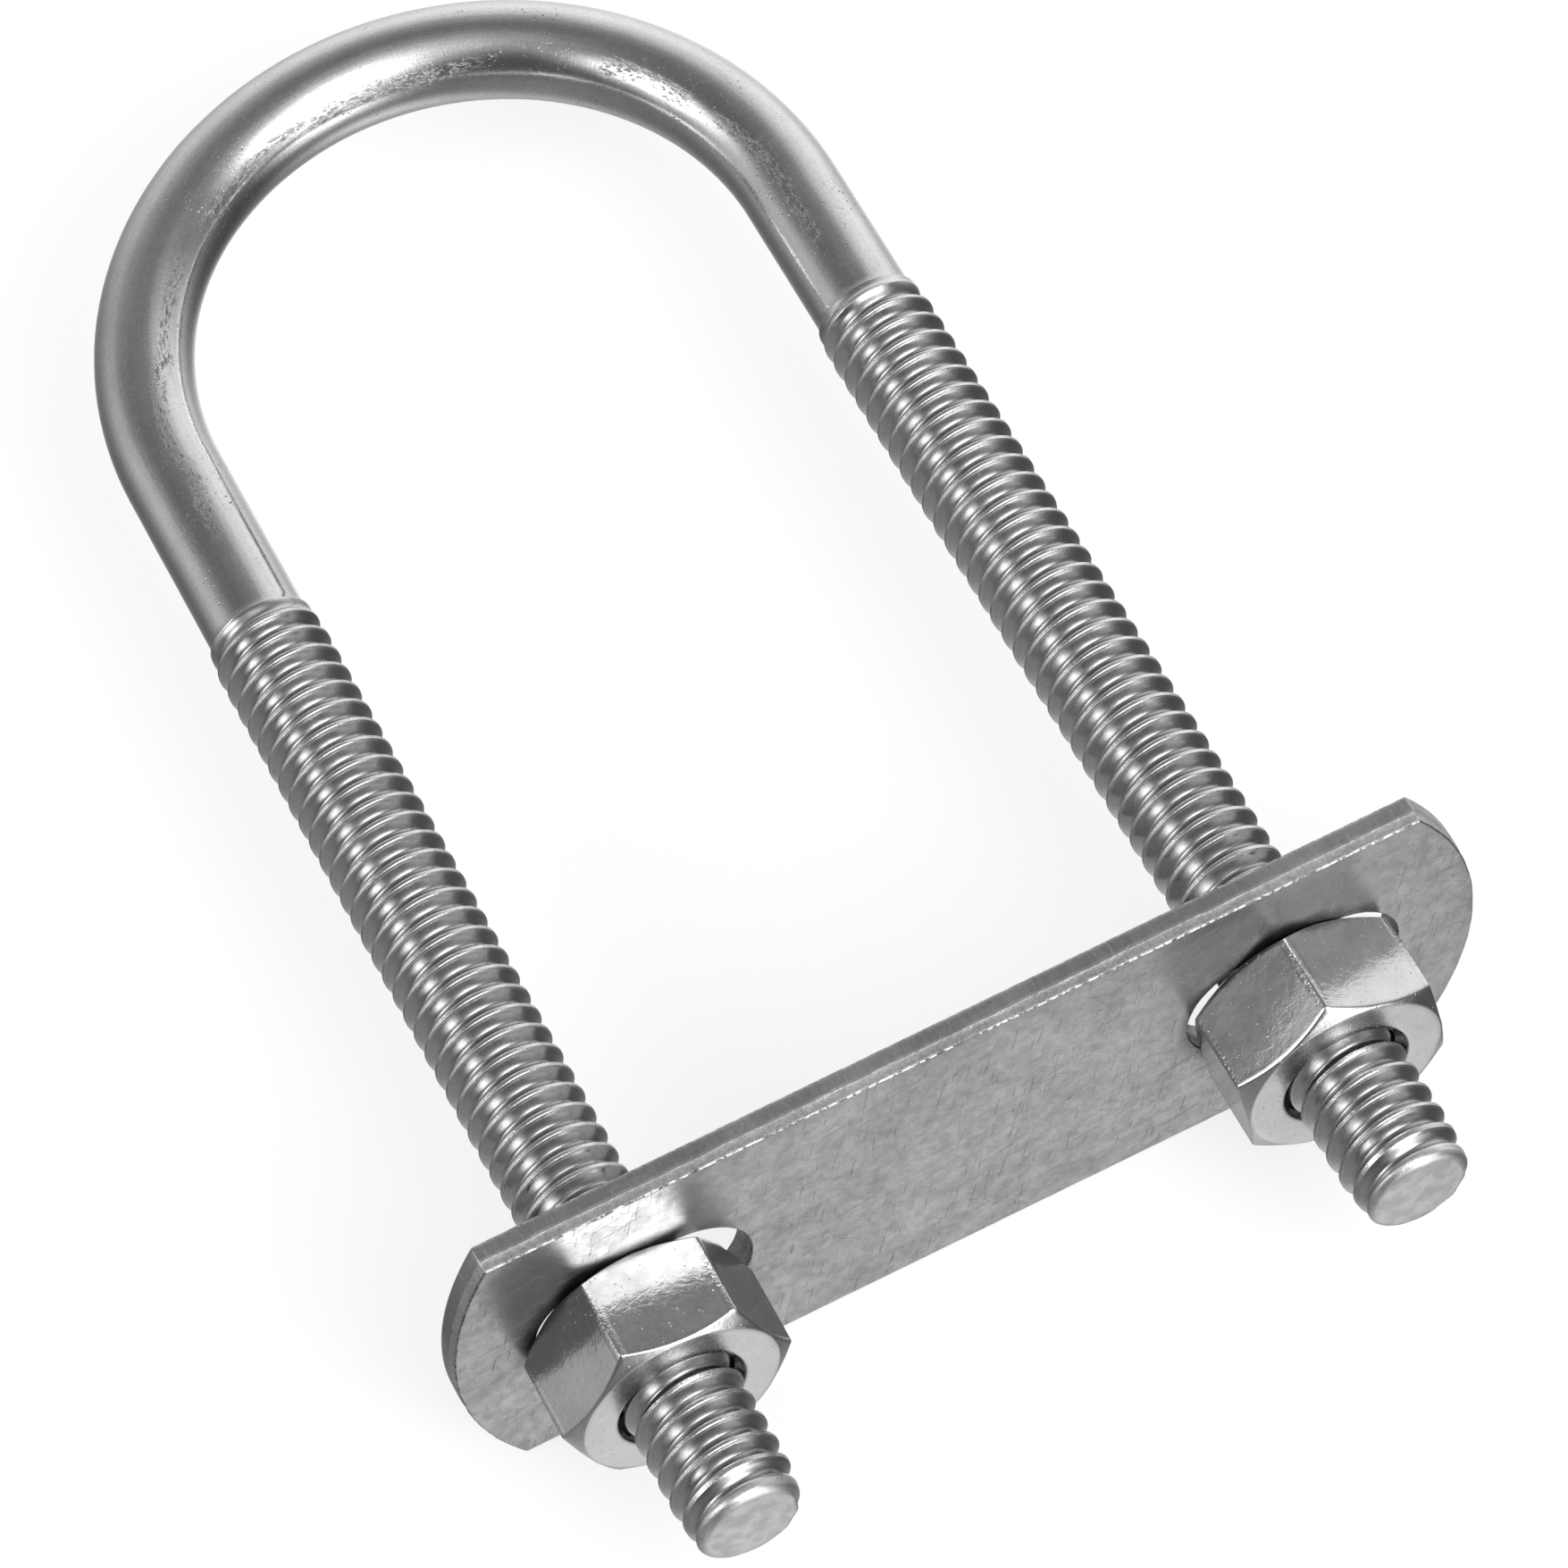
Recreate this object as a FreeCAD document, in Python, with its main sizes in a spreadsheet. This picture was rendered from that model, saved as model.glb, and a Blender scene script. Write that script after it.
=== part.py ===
import FreeCAD, Part
import Sketcher
import os

# U-bolt with a flat slotted backing plate and two hexagon nuts.
#
# Frame: the origin lies on the plate's bow-side (clamping) face, midway between the two
# leg axes. X runs from the left leg to the right leg, Y from the plate towards the bow,
# Z is square to the plane of the bolt. Lengths are millimetres.

Vector = FreeCAD.Vector
SIDES = ("left", "right")
START, END, CENTRE = 1, 2, 3  # point positions on a sketch edge

# ------------------------------------------------------------------ driving dimensions
DIMENSIONS = [
    # alias, value, what it is
    ("leg_spacing", 37.25, "centre distance of the two legs"),
    ("shank_dia", 5.5, "plain bar diameter (rolled-thread blank)"),
    ("bow_height", 53.8, "clamping face to the centre of the bow"),
    ("thread_dia", 6.28, "thread major diameter, 1/4-20 UNC"),
    ("thread_pitch", 1.27, "thread pitch, 20 turns per inch"),
    ("thread_root_dia", 4.76, "thread root diameter"),
    ("crest_flat", 0.18, "width of the thread crest"),
    ("flank_deg", 30.0, "angle of each thread flank from square to the axis"),
    ("thread_top_left", 42.7, "clamping face to the start of the left thread"),
    ("thread_top_right", 44.8, "clamping face to the start of the right thread"),
    ("thread_lead", 0.45, "length of the cone where the thread starts"),
    ("thread_runout", 1.1, "groove centre's stop short of the thread's start"),
    ("leg_end_left", 14.8, "clamping face to the left leg's tip"),
    ("leg_end_right", 14.6, "clamping face to the right leg's tip"),
    ("tip_dia", 4.5, "diameter of the flat end of a leg"),
    ("tip_chamfer", 0.89, "length of the chamfer at a leg's tip"),
    ("crest_left", 39.399, "a crest of the left thread, on its +X side"),
    ("crest_right", 40.750, "a crest of the right thread, on its +X side"),
    ("bolt_pitches_left", 44, "pitches from that crest to below the left tip"),
    ("bolt_pitches_right", 45, "pitches from that crest to below the right tip"),
    ("plate_thick", 1.6, "plate thickness, 1/16 inch"),
    ("plate_width", 19.05, "plate width, 3/4 inch"),
    ("plate_corner_len", 52.0, "plate length between its corners"),
    ("plate_end_rise", 2.72, "how far each arc end stands past the corners"),
    ("plate_shift_x", 0.38, "plate centre from the middle of the legs, along X"),
    ("plate_shift_z", 0.60, "plate centre from the plane of the legs, along Z"),
    ("slot_len", 11.9, "slot length over its round ends"),
    ("slot_width", 7.75, "slot width"),
    ("slot_spacing", 36.63, "centre distance of the two slots"),
    ("nut_flats", 11.0, "nut width across flats, 7/16 inch"),
    ("nut_height", 5.5, "nut height, 7/32 inch"),
    ("nut_face_dia", 10.92, "flat ring on each nut face, outer diameter"),
    ("nut_chamfer_deg", 30.0, "angle of the corner chamfer from the face"),
    ("nut_bore_dia", 5.2, "nut thread minor diameter"),
    ("nut_pitch_dia", 5.89, "nut thread pitch diameter, a loose fit"),
    ("nut_root_dia", 6.6, "nut thread root diameter"),
    ("nut_sink_dia", 7.0, "countersink diameter at each face"),
    ("nut_turn_left", 53.5, "left nut: angle of a corner from +X towards +Z"),
    ("nut_turn_right", 34.7, "right nut: angle of a corner from +X towards +Z"),
    ("nut_pitches_left", 38, "pitches from the left crest to below the nut"),
    ("nut_pitches_right", 39, "pitches from the right crest to below the nut"),
    ("nut_overrun", 0.9, "groove centre's travel past the nut's near face"),
    ("groove_overcut", 0.1, "thread cutter's reach past the crests, radially"),
    ("face_overcut", 0.5, "turned cutters' reach past the nut faces"),
    ("corner_reach_ratio", 1.3, "corner cutter's radius over half the flats"),
]

# Cells worked out from the driving dimensions: alias, formula.
RELATIONS = [
    ("axis_x_left", "-leg_spacing / 2"),
    ("axis_x_right", "leg_spacing / 2"),
    ("shank_radius", "shank_dia / 2"),
    ("thread_radius", "thread_dia / 2"),
    ("tip_radius", "tip_dia / 2"),
    # Bolt groove: a flat-bottomed V that leaves the crest flats standing.
    ("flank_slope", "tan(flank_deg * 1 deg)"),
    ("bolt_groove_inner_radius", "thread_root_dia / 2"),
    ("bolt_groove_outer_radius", "thread_radius + groove_overcut"),
    ("bolt_gap_half", "(thread_pitch - crest_flat) / 2"),
    ("bolt_groove_inner_half",
     "bolt_gap_half - (thread_dia - thread_root_dia) / 2 * flank_slope"),
    ("bolt_groove_outer_half", "bolt_gap_half + groove_overcut * flank_slope"),
    # Nut groove: half a pitch wide at the pitch diameter.
    ("nut_groove_inner_radius", "nut_bore_dia / 2 - groove_overcut"),
    ("nut_groove_outer_radius", "nut_root_dia / 2"),
    ("nut_groove_inner_half",
     "thread_pitch / 4 + (nut_pitch_dia / 2 - nut_groove_inner_radius) * flank_slope"),
    ("nut_groove_outer_half",
     "thread_pitch / 4 + (nut_pitch_dia / 2 - nut_groove_outer_radius) * flank_slope"),
    # Plate outline, and the slots' edges along Z.
    ("plate_x_left", "plate_shift_x - plate_corner_len / 2"),
    ("plate_x_right", "plate_shift_x + plate_corner_len / 2"),
    ("plate_z_low", "plate_shift_z - plate_width / 2"),
    ("plate_z_high", "plate_shift_z + plate_width / 2"),
    ("plate_end_radius",
     "((plate_width / 2) ^ 2 + plate_end_rise ^ 2) / (2 * plate_end_rise)"),
    ("slot_radius", "slot_width / 2"),
    ("slot_z_low", "plate_shift_z - slot_radius"),
    ("slot_z_high", "plate_shift_z + slot_radius"),
    # Nut faces: near lies on the plate, far is towards the leg's tip.
    ("nut_corner_radius", "nut_flats / 2 / cos(30 deg)"),
    ("nut_face_radius", "nut_face_dia / 2"),
    ("nut_bore_radius", "nut_bore_dia / 2"),
    ("near_y", "-plate_thick"),
    ("far_y", "-plate_thick - nut_height"),
    ("near_outside_y", "near_y + face_overcut"),
    ("far_outside_y", "far_y - face_overcut"),
    ("corner_reach", "corner_reach_ratio * nut_flats / 2"),
    ("corner_drop", "(corner_reach - nut_face_radius) * tan(nut_chamfer_deg * 1 deg)"),
    ("near_corner_y", "near_y - corner_drop"),
    ("far_corner_y", "far_y + corner_drop"),
    # 45 degree countersinks.
    ("sink_depth", "(nut_sink_dia - nut_bore_dia) / 2"),
    ("near_sink_y", "near_y - sink_depth"),
    ("far_sink_y", "far_y + sink_depth"),
    ("sink_outside_radius", "nut_sink_dia / 2 + face_overcut"),
]


def side_relations(side):
    """The worked-out cells that differ between the left and the right side."""
    sign = "-" if side == "left" else "+"
    slot_x = f"plate_shift_x {sign} slot_spacing / 2"
    rows = [
        (f"chamfer_y_{side}", f"tip_chamfer - leg_end_{side}"),
        (f"lead_y_{side}", f"thread_top_{side} - thread_lead"),
        # The bolt groove starts half a pitch off a crest, the nut's on one.
        (f"bolt_groove_mid_{side}",
         f"crest_{side} + (0.5 - bolt_pitches_{side}) * thread_pitch"),
        (f"nut_groove_mid_{side}", f"crest_{side} - nut_pitches_{side} * thread_pitch"),
        (f"bolt_groove_height_{side}",
         f"thread_top_{side} - thread_runout - bolt_groove_mid_{side}"),
        (f"nut_groove_height_{side}", f"near_y + nut_overrun - nut_groove_mid_{side}"),
        (f"slot_start_{side}", f"{slot_x} - (slot_len - slot_width) / 2"),
        (f"slot_end_{side}", f"{slot_x} + (slot_len - slot_width) / 2"),
    ]
    for groove in ("bolt_groove", "nut_groove"):
        for depth in ("inner", "outer"):
            for level, step in (("low", "-"), ("high", "+")):
                rows.append((f"{groove}_{depth}_{level}_{side}",
                             f"{groove}_mid_{side} {step} {groove}_{depth}_half"))
    for k in range(6):
        for axis, function in (("x", "cos"), ("z", "sin")):
            angle = f"(nut_turn_{side} + {60 * k}) * 1 deg"
            rows.append((f"hexagon_{side}_{k}_{axis}",
                         f"nut_corner_radius * {function}({angle})"))
    return rows


def fill_sheet(sheet):
    """Write every dimension and relation, and return the value of each alias."""
    rows = [(alias, repr(number), note) for alias, number, note in DIMENSIONS]
    relations = RELATIONS + [row for side in SIDES for row in side_relations(side)]
    rows += [(alias, "=" + formula, "worked out") for alias, formula in relations]
    for i, (alias, content, note) in enumerate(rows, start=1):
        sheet.set(f"A{i}", alias)
        sheet.set(f"B{i}", content)
        sheet.set(f"C{i}", note)
        sheet.setAlias(f"B{i}", alias)
    doc.recompute()
    return {alias: float(sheet.get(alias)) for alias, _, _ in rows}


doc = FreeCAD.newDocument("u_bolt_set")
size = fill_sheet(doc.addObject("Spreadsheet::Sheet", "Params"))


# ----------------------------------------------------------------------------- helpers
# A term is "0", an alias, or an alias with a minus in front.
def value(term):
    """The number a term stands for."""
    if term == "0":
        return 0
    return -size[term[1:]] if term.startswith("-") else size[term]


def bound(term):
    """A term other than "0" as an expression on the sheet."""
    return "-Params." + term[1:] if term.startswith("-") else "Params." + term


def new_body(name):
    body = doc.addObject("PartDesign::Body", name)
    body.Label = name
    return body


def new_sketch(body, name, role, offset=None):
    """A sketch on one of its own body's origin planes; offset is {axis: term}."""
    planes = {feature.Role: feature for feature in body.Origin.OriginFeatures}
    sketch = body.newObject("Sketcher::SketchObject", name)
    sketch.AttachmentSupport = [(planes[role], "")]
    sketch.MapMode = "FlatFace"
    for axis, term in (offset or {}).items():
        sketch.setExpression(".AttachmentOffset.Base." + axis, bound(term))
    return sketch


def dimension(sketch, term, kind, *references):
    """Add a dimensional constraint bound to a term."""
    index = sketch.addConstraint(Sketcher.Constraint(kind, *references, value(term)))
    sketch.setExpression(f"Constraints[{index}]", bound(term))


def pin(sketch, edge, position, x, y):
    """Hold one point of a sketch at terms x, y from the sketch's origin."""
    for kind, term, zero_axis in (("DistanceX", x, -2), ("DistanceY", y, -1)):
        if term == "0":
            sketch.addConstraint(
                Sketcher.Constraint("PointOnObject", edge, position, zero_axis))
        else:
            dimension(sketch, term, kind, -1, START, edge, position)


def join_ends(sketch, count, joint):
    """Join each edge's end to the next edge's start, all the way round."""
    for i in range(count):
        sketch.addConstraint(Sketcher.Constraint(joint, i, END, (i + 1) % count, START))


def polygon(sketch, points):
    """A closed outline of straight lines; each point is a pair of terms."""
    corners = [Vector(value(x), value(y), 0) for x, y in points]
    for corner, following in zip(corners, corners[1:] + corners[:1]):
        sketch.addGeometry(Part.LineSegment(corner, following))
    join_ends(sketch, len(points), "Coincident")
    for i, (x, y) in enumerate(points):
        pin(sketch, i, START, x, y)


def arc_ended_strip(sketch, left, right, low, high, middle, rise, joint):
    """Lower line 0, right arc 1, upper line 2, left arc 3; arcs stand out by rise."""
    x_left, x_right, y_low, y_high, y_mid, out = map(
        value, (left, right, low, high, middle, rise))
    low_left, low_right = Vector(x_left, y_low, 0), Vector(x_right, y_low, 0)
    high_left, high_right = Vector(x_left, y_high, 0), Vector(x_right, y_high, 0)
    sketch.addGeometry(Part.LineSegment(low_left, low_right))
    sketch.addGeometry(Part.Arc(low_right, Vector(x_right + out, y_mid, 0), high_right))
    sketch.addGeometry(Part.LineSegment(high_right, high_left))
    sketch.addGeometry(Part.Arc(high_left, Vector(x_left - out, y_mid, 0), low_left))
    join_ends(sketch, 4, joint)


def add_feature(body, kind, name, profile, bindings=None, about_axis=False, **settings):
    """Add a PartDesign feature; about_axis uses the profile sketch's vertical axis."""
    doc.recompute()
    is_cut = kind in ("Groove", "Pocket", "SubtractiveHelix")
    before = body.Shape.Volume if is_cut else 0
    feature = body.newObject("PartDesign::" + kind, name)
    feature.Profile = profile
    if about_axis:
        feature.ReferenceAxis = (profile, ["V_Axis"])
    for setting, content in settings.items():
        setattr(feature, setting, content)
    for setting, term in (bindings or {}).items():
        feature.setExpression(setting, bound(term))
    doc.recompute()
    if is_cut and not feature.Shape.Volume < before - 0.01:
        raise RuntimeError(feature.Name + " removed nothing")
    return feature


def cut_thread(body, name, sketch_name, groove, side):
    """A right-hand helical groove about one leg's axis, cut from its low end up."""
    section = new_sketch(body, sketch_name, "XY_Plane", {"x": f"axis_x_{side}"})
    polygon(section, [
        (f"{groove}_{depth}_radius", f"{groove}_{depth}_{level}_{side}")
        for depth, level in (
            ("inner", "low"), ("outer", "low"), ("outer", "high"), ("inner", "high"))
    ])
    add_feature(
        body, "SubtractiveHelix", name, section,
        bindings={"Pitch": "thread_pitch", "Height": f"{groove}_height_{side}"},
        about_axis=True, Mode="pitch-height-angle",
        LeftHanded=False, Reversed=False, Angle=0,
    )


# ------------------------------------------------------------------------------ pieces
def build_bolt():
    """One bent bar. The thread is rolled, so its crests stand proud of the shank."""
    bolt = new_body("u_bolt")
    section = new_sketch(bolt, "bow_section", "XZ_Plane", {"z": "-bow_height"})
    centre = Vector(size["axis_x_right"], 0, 0)
    section.addGeometry(Part.Circle(centre, Vector(0, 0, 1), size["shank_radius"]))
    pin(section, 0, CENTRE, "axis_x_right", "0")
    dimension(section, "shank_dia", "Diameter", 0)
    bow = add_feature(bolt, "Revolution", "bow", section, about_axis=True, Angle=180)
    # The half turn must pass through +Y, away from the plate.
    if bow.Shape.BoundBox.YMax < size["bow_height"] + size["shank_dia"]:
        bow.Reversed = True
        doc.recompute()

    for side in SIDES:
        leg = new_sketch(bolt, f"leg_{side}", "XY_Plane", {"x": f"axis_x_{side}"})
        polygon(leg, [
            ("0", f"-leg_end_{side}"),
            ("tip_radius", f"-leg_end_{side}"),
            ("thread_radius", f"chamfer_y_{side}"),
            ("thread_radius", f"lead_y_{side}"),
            ("shank_radius", f"thread_top_{side}"),
            ("shank_radius", "bow_height"),
            ("0", "bow_height"),
        ])
        add_feature(bolt, "Revolution", f"leg_{side}_blank", leg,
                    about_axis=True, Angle=360)
    for side in SIDES:
        cut_thread(bolt, f"thread_{side}", f"groove_{side}", "bolt_groove", side)


def build_plate():
    """Flat strip with arc ends and two round-ended slots, on the nut side of Y = 0."""
    plate = new_body("backing_plate")
    outline = new_sketch(plate, "plate_outline", "XZ_Plane")
    arc_ended_strip(
        outline, left="plate_x_left", right="plate_x_right",
        low="plate_z_low", high="plate_z_high",
        middle="plate_shift_z", rise="plate_end_rise", joint="Coincident",
    )
    pin(outline, 0, START, "plate_x_left", "plate_z_low")
    pin(outline, 0, END, "plate_x_right", "plate_z_low")
    pin(outline, 2, START, "plate_x_right", "plate_z_high")
    pin(outline, 2, END, "plate_x_left", "plate_z_high")
    for arc in (1, 3):
        dimension(outline, "plate_end_radius", "Radius", arc)
    add_feature(plate, "Pad", "plate_blank", outline, bindings={"Length": "plate_thick"})

    for side in SIDES:
        slot = new_sketch(plate, f"slot_{side}", "XZ_Plane")
        start, end = f"slot_start_{side}", f"slot_end_{side}"
        arc_ended_strip(
            slot, left=start, right=end, low="slot_z_low", high="slot_z_high",
            middle="plate_shift_z", rise="slot_radius", joint="Tangent",
        )
        pin(slot, 3, CENTRE, start, "plate_shift_z")
        pin(slot, 1, CENTRE, end, "plate_shift_z")
        dimension(slot, "slot_radius", "Radius", 1)
        add_feature(plate, "Pocket", f"slot_{side}_cut", slot,
                    Type="ThroughAll", Midplane=True)


def build_nut(side):
    """Hexagon nut on the plate's outer face, threaded in mesh with its leg."""
    nut = new_body(f"nut_{side}")
    axis_x = f"axis_x_{side}"
    hexagon = new_sketch(nut, "hexagon", "XZ_Plane", {"x": axis_x, "z": "plate_thick"})
    polygon(hexagon, [(f"hexagon_{side}_{k}_x", f"hexagon_{side}_{k}_z") for k in range(6)])
    add_feature(nut, "Pad", "blank", hexagon, bindings={"Length": "nut_height"})

    for face in ("near", "far"):
        corner = new_sketch(nut, f"corner_{face}", "XY_Plane", {"x": axis_x})
        polygon(corner, [
            ("nut_face_radius", f"{face}_y"),
            ("corner_reach", f"{face}_corner_y"),
            ("corner_reach", f"{face}_outside_y"),
            ("nut_face_radius", f"{face}_outside_y"),
        ])
        add_feature(nut, "Groove", f"corner_{face}_cut", corner,
                    about_axis=True, Angle=360)

    # Bore with a countersink at each mouth.
    bore = new_sketch(nut, "bore_section", "XY_Plane", {"x": axis_x})
    polygon(bore, [
        ("0", "far_outside_y"),
        ("sink_outside_radius", "far_outside_y"),
        ("nut_bore_radius", "far_sink_y"),
        ("nut_bore_radius", "near_sink_y"),
        ("sink_outside_radius", "near_outside_y"),
        ("0", "near_outside_y"),
    ])
    add_feature(nut, "Groove", "bore", bore, about_axis=True, Angle=360)
    cut_thread(nut, "thread", "thread_section", "nut_groove", side)


build_bolt()
build_plate()
for side in SIDES:
    build_nut(side)

# ------------------------------------------------------------------- check and write out
doc.recompute()
for obj in doc.Objects:
    if "Invalid" in obj.State or "Error" in obj.State:
        raise RuntimeError(f"{obj.Name} failed: {obj.State}")

os.makedirs("parts", exist_ok=True)
for name in ("u_bolt", "backing_plate", "nut_left", "nut_right"):
    body = doc.getObject(name)
    shape = body.Shape
    if shape.isNull() or not shape.isValid() or len(shape.Solids) != 1:
        raise RuntimeError(name + " has no valid single solid")
    shape.exportStep(f"parts/{body.Label}.step")
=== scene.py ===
"""Looks for the u-bolt, its slotted plate and its two nuts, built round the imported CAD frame.

Every piece is made in millimetres here and stored in metres. Threads are helical grids, so that
each crest, lip and root is real geometry. Materials are node based, with no image textures.
"""

import math

import bpy
import numpy as np
from mathutils import Matrix, Vector, noise
from mathutils.geometry import delaunay_2d_cdt


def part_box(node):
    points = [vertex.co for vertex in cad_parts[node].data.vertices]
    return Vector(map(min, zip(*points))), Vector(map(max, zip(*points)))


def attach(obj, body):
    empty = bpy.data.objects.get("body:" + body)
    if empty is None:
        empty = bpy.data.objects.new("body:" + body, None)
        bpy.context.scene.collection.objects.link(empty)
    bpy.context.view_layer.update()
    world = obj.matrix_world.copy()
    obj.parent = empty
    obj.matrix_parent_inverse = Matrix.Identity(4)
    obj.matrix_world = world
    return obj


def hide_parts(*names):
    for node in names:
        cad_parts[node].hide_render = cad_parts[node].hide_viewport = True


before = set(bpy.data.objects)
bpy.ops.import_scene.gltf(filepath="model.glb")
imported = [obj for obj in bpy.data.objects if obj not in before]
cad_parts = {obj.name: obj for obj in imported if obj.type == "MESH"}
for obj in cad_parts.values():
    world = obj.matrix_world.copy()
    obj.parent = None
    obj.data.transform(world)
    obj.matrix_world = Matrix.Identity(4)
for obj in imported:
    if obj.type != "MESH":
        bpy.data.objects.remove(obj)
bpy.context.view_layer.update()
MM = 0.001
TAU = 2 * math.pi
T30 = math.tan(math.radians(30))


def centre_x(node):
    lo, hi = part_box(node)
    return (lo.x + hi.x) / 2 / MM


# ---------------------------------------------------------------- places read from the CAD frame
LEG_L, LEG_R = centre_x("nut_left"), centre_x("nut_right")
BOW_R = (LEG_R - LEG_L) / 2
PITCH = 1.27
BAR_LO, BAR_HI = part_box("u_bolt")
SHANK_R = 2.75
BOW_Y = BAR_HI.y / MM - BOW_R - SHANK_R
PL_LO, PL_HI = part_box("backing_plate")
PL_CX, PL_CZ = (PL_LO.x + PL_HI.x) / 2 / MM, (PL_LO.z + PL_HI.z) / 2 / MM
PL_T = (PL_HI.y - PL_LO.y) / MM
NUT_LO, NUT_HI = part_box("nut_left")
NUT_H = (NUT_HI.y - NUT_LO.y) / MM
NUT_Y = (NUT_HI.y + NUT_LO.y) / 2 / MM
CREST_L, CREST_R = 39.399, 40.750
TOP_L, TOP_R = 42.7, 44.8
END_L, END_R = -14.8, -14.6


def smooth(u):
    u = min(1.0, max(0.0, u))
    return u * u * (3 - 2 * u)


def grit(x, y, z, scale, seed=0.0):
    """Signed noise, about -1 to 1."""
    return noise.noise(Vector((x * scale + seed, y * scale - seed * 0.7, z * scale + 1.3 * seed)))


def make_object(name, verts, faces, attrs, sharp_deg=None):
    """Makes a mesh object from mm vertices. attrs maps a name to per-vertex numbers or vectors."""
    me = bpy.data.meshes.new(name)
    clean = []
    for f in faces:
        g = []
        for v in f:
            if v not in g:
                g.append(v)
        if len(g) > 2:
            clean.append(g)
    me.from_pydata([(x * MM, y * MM, z * MM) for x, y, z in verts], [], clean)
    me.validate(clean_customdata=False)
    for key, values in attrs.items():
        if isinstance(values[0], (tuple, list)):
            a = me.attributes.new(key, "FLOAT_VECTOR", "POINT")
            a.data.foreach_set("vector", np.array(values, np.float32).ravel())
        else:
            a = me.attributes.new(key, "FLOAT", "POINT")
            a.data.foreach_set("value", np.array(values, np.float32))
    me.polygons.foreach_set("use_smooth", [True] * len(me.polygons))
    if sharp_deg:
        me.set_sharp_from_angle(angle=math.radians(sharp_deg))
    me.update()
    ob = bpy.data.objects.new(name, me)
    bpy.context.scene.collection.objects.link(ob)
    return ob


# ---------------------------------------------------------------- the bent bar
PROFILE = [(0.0, 3.108), (0.060, 3.134), (0.098, 3.126), (0.134, 3.078), (0.27, 2.86), (0.38, 2.70), (0.50, 2.545), (0.635, 2.475)]
PROF_U = [p[0] for p in PROFILE]
PROF_R = [p[1] for p in PROFILE]
# the nuts' internal thread, over the same crests
NUT_U = [0.0, 0.11, 0.30, 0.517, 0.635]
NUT_PR = [3.30, 3.30, 2.975, 2.60, 2.60]


def offset_at(phi, y, ref):
    """Signed distance along the axis from the nearest crest."""
    return (y - ref + PITCH * phi / TAU + PITCH / 2) % PITCH - PITCH / 2


def stations(values):
    """Signed offsets in one pitch, from just over -half a pitch to +half a pitch."""
    out = []
    for v in values:
        out += [v] if v in (0.0, 0.635) else [v, -v]
    return sorted(out)


N = 64


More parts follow.
